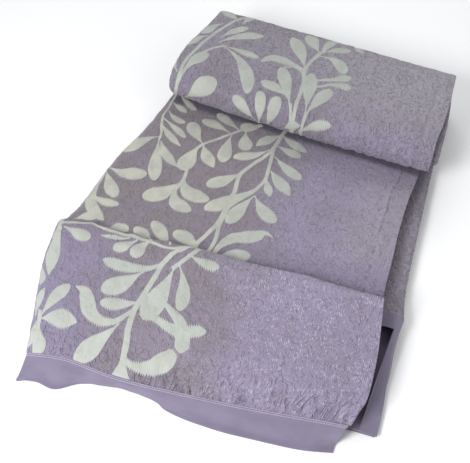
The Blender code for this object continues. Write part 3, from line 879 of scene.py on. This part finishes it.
def band_sheet(name, net, rows, shown, wave, seam_last):
    """A band from its net of columns. seam_last says that the columns run from the hem to the seam."""
    surface = Surface(net, np.mean([distances(column) for column in net], axis=0))
    depth = surface.along[-2]
    lines = [k for k in LEFT_LINE - split(ACROSS, 0.03) if not shown[0] < k < shown[1]]
    lines = np.sort(np.concatenate([lines, np.arange(shown[0], min(shown[1], A_HIGH) + 1e-6, 0.005)]))
    lines = lines[np.concatenate([[True], np.diff(lines) > 0.0012])]
    start, end = (0, depth + SEAM_COVER) if seam_last else (-SEAM_COVER, depth + MOUTH_COVER)
    along = np.linspace(start, end, rows)
    places = np.stack(np.meshgrid(lines, along, indexing="ij"), axis=-1).reshape(-1, 2)
    a, v = places[:, 0], places[:, 1]
    from_seam = depth - v if seam_last else v
    free = smooth(0.0, 0.02, from_seam) * smooth(shown[0] - 0.03, shown[0], a)
    free *= 1 - smooth(shown[1], shown[1] + 0.03, a)
    heights = free * (wave * waves(a, v, 0.055, 0.09, 21.0) + wave / 2 * waves(a, v, 0.02, 0.05, 27.0))
    heights -= 0.00035 * np.exp(-(((depth - from_seam - 0.009) / 0.0016) ** 2))
    heights += 0.0005 * np.exp(-from_seam / 0.006) * waves(a, v, 0.006, 0.02, 30.0)
    quads = [
        (i * rows + j, (i + 1) * rows + j, (i + 1) * rows + j + 1, i * rows + j + 1)
        for i in range(len(lines) - 1)
        for j in range(rows - 1)
    ]
    return make_sheet(name, surface, places, quads, heights, BAND, [0] * len(quads)), surface


front_net, under_net = net_of(front_band_column)[:, ::-1], net_of(under_band_column)
front_shown, under_shown = (-0.03, 0.6), (-0.66, -0.53)
front_band, front_surface = band_sheet("front_band_cloth", front_net, 22, front_shown, 0.0022, seam_last=True)
under_band, under_surface = band_sheet("under_band_cloth", under_net, 40, under_shown, 0.0010, seam_last=False)

# %% [markdown]
# ## The seam's stitches
# The front band is top-stitched beside its seam with two rows of pale thread. Each stitch is a short piece of thread
# that dives into the cloth at both ends, drawn as a curve with a round section and turned into a mesh.

# %% Two rows of stitches
STITCH_PITCH, STITCH_LENGTH, THREAD = 0.0042, 0.0033, 0.00038
STITCH_ROWS = (0.0006, 0.0042)  # from the seam, along the band
curve = bpy.data.curves.new("seam_stitches", "CURVE")
curve.dimensions, curve.bevel_depth, curve.bevel_resolution, curve.use_fill_caps = "3D", THREAD, 1, True
starts = np.arange(-0.03, A_HIGH - STITCH_PITCH, STITCH_PITCH)
for row in STITCH_ROWS:
    for start in starts:
        a = start + STITCH_LENGTH * np.array([0.0, 0.2, 0.5, 0.8, 1.0])
        v = np.full(5, front_surface.along[-2] - row)
        lift = BAND / 2 + THREAD * np.array([-1.2, 0.5, 1.0, 0.5, -1.2])
        places = front_surface.at(a, v) + front_surface.normals(a, v) * lift[:, None]
        spline = curve.splines.new("POLY")
        spline.points.add(4)
        for point, place in zip(spline.points, places):
            point.co = (*place, 1)
put_in_scene("seam_stitches", curve)
bpy.ops.object.convert(target="MESH")
stitches = bpy.context.view_layer.objects.active
bpy.ops.object.shade_smooth()
print(len(starts) * len(STITCH_ROWS), "stitches")

# %% [markdown]
# ## Effects that the cloths share
# Four materials need the same fine weave, and two need the same puckers. A node group holds each effect once. It reads
# the flat cloth's UV map, in metres, and puts out plain numbers: a height for the bump and masks for the colours.

# %% Node groups: fine weave, puckers and flecks
FULL_TURN = 2 * math.pi
THREAD_PITCH, FLECK_PITCH, RIB_PITCH = 0.0009, 0.0031, 0.0019


def node(tree, kind, inputs=None, **settings):
    """Adds a node. Its inputs are given by name or number, as numbers, values or other nodes' outputs."""
    made = tree.nodes.new(kind)
    for key, value in settings.items():
        setattr(made, key, value)
    for key, value in (inputs or {}).items():
        value = value.socket if isinstance(value, Value) else value
        if isinstance(value, bpy.types.NodeSocket):
            tree.links.new(value, made.inputs[key])
        else:
            made.inputs[key].default_value = value
    return made


class Value:
    """A number at each place on a cloth, which adds, subtracts and multiplies as plain numbers do."""

    def __init__(self, tree, socket):
        self.tree, self.socket = tree, socket

    def calculate(self, operation, other=0.0):
        made = node(self.tree, "ShaderNodeMath", {0: self, 1: other}, operation=operation)
        return Value(self.tree, made.outputs[0])

    def __add__(self, other):
        return self.calculate("ADD", other)

    def __sub__(self, other):
        return self.calculate("SUBTRACT", other)

    def __mul__(self, other):
        return self.calculate("MULTIPLY", other)

    def ramp(self, low, high, to_low=0.0, to_high=1.0):
        inputs = {"Value": self, "From Min": low, "From Max": high, "To Min": to_low, "To Max": to_high}
        made = node(self.tree, "ShaderNodeMapRange", inputs, interpolation_type="SMOOTHSTEP")
        return Value(self.tree, made.outputs["Result"])

    def line(self, level, half):
        """1 where the value is at a level, falling to 0 at half to each side."""
        return (self - level).calculate("ABSOLUTE").ramp(half, half * 0.2)

    def wave(self):
        """A sine that comes round at every whole number."""
        return (self * FULL_TURN).calculate("SINE")


def flat_place(tree, size_a, size_v):
    """The flat address, divided by the size of what is drawn across and along the cloth."""
    uv = node(tree, "ShaderNodeUVMap", uv_map="flat_cloth").outputs[0]
    scale = (1 / size_a, 1 / size_v, 1)
    return node(tree, "ShaderNodeVectorMath", {0: uv, 1: scale}, operation="MULTIPLY").outputs[0]


def across_and_along(tree, size=1.0):
    parts = node(tree, "ShaderNodeSeparateXYZ", {0: flat_place(tree, size, size)}).outputs
    return Value(tree, parts[0]), Value(tree, parts[1])


def mottle(tree, size_a, size_v, detail=2.0, roughness=0.5, distortion=0.0):
    inputs = {
        "Vector": flat_place(tree, size_a, size_v), "Scale": 1.0, "Detail": detail, "Roughness": roughness,
        "Distortion": distortion,
    }
    return Value(tree, node(tree, "ShaderNodeTexNoise", inputs).outputs["Fac"])


def group(name, outputs, build):
    tree = bpy.data.node_groups.new(name, "ShaderNodeTree")
    for output in outputs:
        tree.interface.new_socket(name=output, in_out="OUTPUT", socket_type="NodeSocketFloat")
    node(tree, "NodeGroupOutput", build(tree))
    return tree


def fine_weave(tree):
    """Threads across and along: 0.9 mm apart, uneven as spun yarn is."""
    across, along = across_and_along(tree, THREAD_PITCH)
    warp = across.calculate("MULTIPLY_ADD", FULL_TURN).calculate("SINE")
    weft = (along * FULL_TURN + mottle(tree, 0.004, 0.004) * 2.5).calculate("SINE")
    yarn = mottle(tree, 0.0022, 0.0009, detail=1.0)
    return {"Height": (warp + weft) * 0.25 + yarn, "Yarn": yarn}


def puckers(tree):
    """The matelasse ground: small puckers cut by sharp crinkles, pale flecks in curling rows, and painted shade in its
    hollows.
    """
    small = mottle(tree, 0.0065, 0.0120, distortion=0.8)
    crinkles = mottle(tree, 0.020, 0.030, detail=1.0, distortion=1.4).line(0.5, 0.042)
    crinkles *= mottle(tree, 0.011, 0.014, detail=0.0).ramp(0.42, 0.56)
    fine_crinkles = mottle(tree, 0.008, 0.013, detail=1.0, distortion=1.0).line(0.47, 0.06)
    cut = crinkles * 0.40 + fine_crinkles * 0.10
    curls = mottle(tree, 0.034, 0.030, detail=0.5, distortion=1.6).line(0.5, 0.085)
    upright = across_and_along(tree, FLECK_PITCH)[0].wave().ramp(0.0, 0.55)
    short = upright * mottle(tree, 0.0031, 0.0080, detail=0.0).ramp(0.49, 0.56)
    # the hollows' mask is painted shade: darker where the puckers sink
    return {"Height": small - cut, "Fleck": curls * short, "Hollow": (small - cut * 0.45).ramp(0.42, 0.10)}


WEAVE = group("fine weave", ("Height", "Yarn"), fine_weave)
PUCKERS = group("matelasse puckers", ("Height", "Fleck", "Hollow"), puckers)
print("shared effects:", WEAVE.name, "and", PUCKERS.name)

# %% [markdown]
# ## The five materials
# The lilac ground is greyer over the middle's left and more violet at the front and right. Painted shade darkens its
# pucker hollows, the valley behind the crest, the front's left, the pressed line and the gathers, a painted shadow lies
# under the roll, and painted light makes the roll's top paler. The leaves are off-white with fine ribs, with painted
# shade in their hollows. The woven cloth's wrong side is a grey beige, painted paler as light in the shaded mouth. The
# bands are plain, and show their good side on both faces because they are doubled. All are matt, with a little sheen
# from loose fibres. What is the same all over is set on the shader itself.

# %% Ground, leaf, band, wrong side and thread
def linear(colour):
    """A colour given as screen values from 0 to 255, as the shader wants it."""
    channels = [c / 255 for c in colour]
    return tuple(c / 12.92 if c <= 0.04045 else ((c + 0.055) / 1.055) ** 2.4 for c in channels) + (1.0,)


def blend(factor, a, b):
    """A colour from a to b, each given as screen values or as another blend."""
    a, b = (linear(colour) if isinstance(colour, tuple) else colour for colour in (a, b))
    return node(factor.tree, "ShaderNodeMix", {"Factor": factor, 6: a, 7: b}, data_type="RGBA").outputs[2]


def cloth_material(name, sheen, build):
    """A matt cloth. build gives its colour, roughness and a bump height in millimetres."""
    material = bpy.data.materials.new(name)
    material.use_nodes = True
    tree = material.node_tree
    shader = tree.nodes["Principled BSDF"]
    shader.inputs["Sheen Weight"].default_value = sheen
    shader.inputs["Sheen Roughness"].default_value = 0.5
    shader.inputs["Specular IOR Level"].default_value = 0.25
    colour, roughness, height = build(tree)
    bump = node(tree, "ShaderNodeBump", {"Strength": 1.0, "Distance": 0.001, "Height": height})
    tree.links.new(colour, shader.inputs["Base Color"])
    tree.links.new(roughness.socket, shader.inputs["Roughness"])
    tree.links.new(bump.outputs[0], shader.inputs["Normal"])
    return material


def effect(tree, shared):
    return {out.name: Value(tree, out) for out in node(tree, "ShaderNodeGroup", node_tree=shared).outputs}


def ground(tree):
    puckered, weave = effect(tree, PUCKERS), effect(tree, WEAVE)
    across, along = across_and_along(tree)
    # the slow change from grey mauve to violet
    to_right, to_left = across.ramp(0.22, 0.44), across.ramp(0.15, 0.04, 0.3, 1.0)
    violet_share = to_right.calculate("MAXIMUM", along.ramp(0.34, 0.20) * to_left)
    violet_share = violet_share.calculate("MAXIMUM", along.ramp(0.90, 1.15, 0.0, 0.55)) * along.ramp(0.28, 0.50, 1.0, 0.85)
    patchy = violet_share + mottle(tree, 0.07, 0.09).ramp(0.3, 0.7, -0.2, 0.2)
    colour = blend(patchy, GREY_MAUVE, VIOLET)
    # painted shade in the hollows, then flecks and yarn
    colour = blend(puckered["Hollow"] * 0.30, colour, SHADE_AND_DARK_YARN)
    shown = to_right * along.ramp(0.36, 0.28, 0.1, 0.5) + 0.15
    colour = blend(puckered["Fleck"] * shown, colour, FLECK)
    colour = blend(weave["Yarn"].ramp(0.35, 0.65, 0.0, 0.22), colour, SHADE_AND_DARK_YARN)
    # shade in the valley behind the crest, at the front's left, in the pressed line and in the gathers
    valley = along.ramp(0.290, 0.302) * along.ramp(0.400, 0.306) * across.ramp(0.18, 0.26, 0.0, 0.40)
    front_left = across.ramp(0.22, 0.06) * along.ramp(0.34, 0.26, 0.0, 0.26)
    pressed = (across + mottle(tree, 0.04, 0.06) * 0.008).line(0.558, 0.0032)
    pressed *= mottle(tree, 0.03, 0.012, detail=1.0).ramp(0.36, 0.54)
    pressed *= along.ramp(1.00, 1.15, 1.0, 0.35)
    gathers = mottle(tree, 0.026, 0.090, detail=1.5, distortion=1.2).line(0.5, 0.07)
    gathers *= mottle(tree, 0.03, 0.05).ramp(0.36, 0.56, 0.25, 1.0)
    gathers *= along.ramp(0.070, 0.012) * across.ramp(0.06, 0.24)
    painted_crease_shade = valley + front_left + pressed * along.ramp(0.27, 0.33, 0.2, 0.55) + gathers * 0.50
    # paler on the roll's top, which is painted light where the low key reaches little, and paler beside the middle's
    # right edge
    painted_roll_light = along.ramp(1.17, 1.42, 0.0, 0.75) * across.ramp(0.14, 0.48, 0.35, 1.0)
    paler_right_edge = along.ramp(0.36, 0.44) * along.ramp(0.72, 0.60, 0.0, 0.35) * across.ramp(0.45, 0.54)
    colour = blend(painted_roll_light + paler_right_edge, colour, PALE_AND_PAINTED_LIGHT)
    # painted shade in the valley, at the front's left, in the pressed line and in the gathers
    colour = blend(painted_crease_shade, colour, SHADE_AND_DARK_YARN)
    # painted shadow: a dark strip on the cloth under the roll's nose
    painted_roll_shadow = along.ramp(0.700, 0.715, 0.0, 0.85) * along.ramp(1.16, 1.12)
    colour = blend(painted_roll_shadow, colour, PAINTED_ROLL_SHADOW)
    grain = mottle(tree, 0.0036, 0.0030, roughness=0.7).ramp(0.38, 0.62, 0.0, 0.32)
    colour = blend(grain, colour, SHADE_AND_DARK_YARN)
    # the puckers stand out most at the seam and on the roll
    deep = along.ramp(0.09, 0.02, 3.4, 5.6).calculate("MAXIMUM", along.ramp(1.10, 1.15, 3.4, 6.4))
    height = puckered["Height"] * deep - pressed * along.ramp(0.27, 0.33, 0.7, 1.6)
    height = height - gathers * 2.8 + weave["Height"] * 0.10
    return colour, puckered["Height"].ramp(0.0, 0.5, 0.92, 0.80), height


def leaf(tree):
    puckered, weave = effect(tree, PUCKERS), effect(tree, WEAVE)
    rib = across_and_along(tree, RIB_PITCH)[0].wave()
    across, along = across_and_along(tree)
    creamy = along.ramp(0.22, 0.34) * along.ramp(1.30, 1.10) * across.ramp(0.34, 0.22, 0.15, 1.0)
    colour = blend(creamy, COOL_WHITE, OFF_WHITE)
    colour = blend(mottle(tree, 0.03, 0.05).ramp(0.35, 0.65, 0.0, 0.8), colour, WHITE_SHADE)
    colour = blend(rib.ramp(0.2, -1.0, 0.0, 0.22), colour, GREY_MAUVE)
    # painted shade in the leaves' hollows
    colour = blend(puckered["Hollow"] * 0.25, colour, GREY_MAUVE)
    height = puckered["Height"] * 0.8 + rib * 0.10 + weave["Height"] * 0.08
    return colour, rib.ramp(-1.0, 1.0, 0.82, 0.70), height


def plain(light, shade):
    def build(tree):
        weave = effect(tree, WEAVE)
        colour = blend(mottle(tree, 0.05, 0.03, detail=3.0).ramp(0.3, 0.7), light, shade)
        colour = blend(weave["Yarn"].ramp(0.35, 0.65, 0.0, 0.20), colour, SHADE_AND_DARK_YARN)
        height = mottle(tree, 0.012, 0.020) * 0.5 + weave["Height"] * 0.12
        return colour, weave["Yarn"].ramp(0.3, 0.7, 0.90, 0.78), height

    return build


def thread(tree):
    twist = node(tree, "ShaderNodeTexCoord").outputs["Object"]
    strands = node(tree, "ShaderNodeTexNoise", {"Vector": twist, "Scale": 900.0, "Detail": 1.0})
    strands = Value(tree, strands.outputs["Fac"])
    colour = blend(strands.ramp(0.4, 0.6), THREAD_LIGHT, THREAD_SHADE)
    return colour, strands.ramp(0.3, 0.7, 0.5, 0.65), strands * 0.08


VIOLET, GREY_MAUVE = (153, 144, 168), (131, 123, 125)
# next line: the first colour is dark yarn and painted shade in hollows and creases, the second a painted shadow under
# the roll, the third pale flecks, and the last painted light on the roll's top and a paler tone beside the middle's
# right edge
SHADE_AND_DARK_YARN, PAINTED_ROLL_SHADOW, FLECK, PALE_AND_PAINTED_LIGHT = (108, 99, 122), (72, 65, 84), (218, 217, 220), (170, 165, 171)
COOL_WHITE, OFF_WHITE, WHITE_SHADE = (181, 186, 179), (191, 192, 179), (172, 175, 168)
BAND_LIGHT, BAND_SHADE = (131, 124, 145), (121, 114, 134)
# the wrong side is painted paler than its grey beige, as painted light in the shaded mouth
WRONG_LIGHT, WRONG_SHADE = (188, 180, 180), (168, 160, 163)
THREAD_LIGHT, THREAD_SHADE = (212, 208, 220), (188, 182, 200)
ground_material = cloth_material("lilac ground", 0.25, ground)
leaf_material = cloth_material("off-white leaves", 0.12, leaf)
band_material = cloth_material("plain lilac band", 0.25, plain(BAND_LIGHT, BAND_SHADE))
wrong_material = cloth_material("grey beige wrong side", 0.2, plain(WRONG_LIGHT, WRONG_SHADE))
thread_material = cloth_material("pale thread", 0.1, thread)


def dress(piece, *materials):
    while len(piece.data.materials) < len(materials):
        piece.data.materials.append(None)
    for k, material in enumerate(materials):
        piece.data.materials[k] = material


dress(cloth, ground_material, leaf_material, wrong_material, wrong_material)
for band in (front_band, under_band):  # a band is doubled, so it shows its good side on both faces
    dress(band, band_material, band_material, band_material, band_material)
dress(stitches, thread_material)
print("materials:", ", ".join(m.name for m in bpy.data.materials))

# %% [markdown]
# ## What each piece is
# Every piece rides on the body of the part. Each cloth stands for its solid, and is listed with its flat size.

front_depth, under_depth = front_surface.along[-2], under_surface.along[-2]
SHEETS = [
    (cloth, "woven_cloth", (WIDTH, LENGTH), ["under_band_cloth"], [stitches]),
    (front_band, "front_hem_band", (WIDTH, front_depth), ["under_band_cloth"], []),
    (under_band, "under_hem_band", (WIDTH, under_depth), ["floor"], []),
]

# %% [markdown]
# ## Floor, light and camera
# A pale floor, a soft key light from the front left and weaker ones from behind and from the right make an even
# product picture. The key stands low enough to shade the valley behind the crest. The camera stands where the
# photograph was taken from: above the near side, and rolled by a few degrees.

# %% The stage
bpy.ops.mesh.primitive_plane_add(size=9, location=(0, 0, 0))
floor = bpy.context.active_object
floor.name = "floor"
floor_material = bpy.data.materials.new("pale floor")
floor_material.use_nodes = True
floor_shader = floor_material.node_tree.nodes["Principled BSDF"]
floor_shader.inputs["Base Color"].default_value = (0.985, 0.985, 0.985, 1)
floor_shader.inputs["Roughness"].default_value = 0.9
floor.data.materials.append(floor_material)

bpy.context.scene.view_settings.view_transform = "Standard"
world = bpy.data.worlds.new("soft room")
bpy.context.scene.world = world
world.use_nodes = True
world.node_tree.nodes["Background"].inputs["Color"].default_value = (0.95, 0.97, 1.0, 1)
world.node_tree.nodes["Background"].inputs["Strength"].default_value = 0.38

Lamp = namedtuple("Lamp", "name place size energy")
LAMPS = [
    Lamp("key light", (-0.75, -1.85, 1.5), 0.8, 53),
    Lamp("back light", (-0.2, 2.2, 2.1), 1.5, 28),
    Lamp("right fill", (1.9, -0.6, 1.7), 1.8, 9),
]
for lamp in LAMPS:
    bpy.ops.object.light_add(type="AREA", location=lamp.place)
    light = bpy.context.active_object
    light.name = lamp.name
    light.data.size, light.data.energy = lamp.size, lamp.energy
    light.rotation_euler = (-Vector(lamp.place)).to_track_quat("-Z", "Y").to_euler()

azimuth, elevation, roll = (math.radians(angle) for angle in (12, 48, 6))
flat_share = math.cos(elevation)
forward = Vector((-math.sin(azimuth) * flat_share, math.cos(azimuth) * flat_share, -math.sin(elevation)))
level = Vector((math.cos(azimuth), math.sin(azimuth), 0))
upright = level.cross(forward)
right = math.cos(roll) * level + math.sin(roll) * upright
up = -math.sin(roll) * level + math.cos(roll) * upright
IMAGE_WIDTH, FOCAL_PIXELS, DISTANCE = 470, 920, 1.942
target = Vector((-0.0426, 0.4625, 0)) - CENTRE
bpy.ops.object.camera_add()
camera = bpy.context.active_object
camera.name = "photo camera"
camera.data.sensor_width = 36
camera.data.lens = FOCAL_PIXELS / IMAGE_WIDTH * camera.data.sensor_width
placed = Matrix((right, up, -forward)).transposed().to_4x4()
placed.translation = target - forward * DISTANCE
camera.matrix_world = placed
bpy.context.scene.camera = camera
print("camera at", [round(c, 3) for c in placed.translation])

# %% [markdown]
# ## The last cell ties the pieces to the part and hides the solids that they stand for.
# The last cell ties the pieces to the part, writes the two boxes beside each other, and lets the frame check it all.

# %% Tie the pieces to the frame and finish
for piece, solid, flat_size, under_it, on_it in SHEETS:
    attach(piece, "root")
    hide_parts(solid)
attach(stitches, "root")
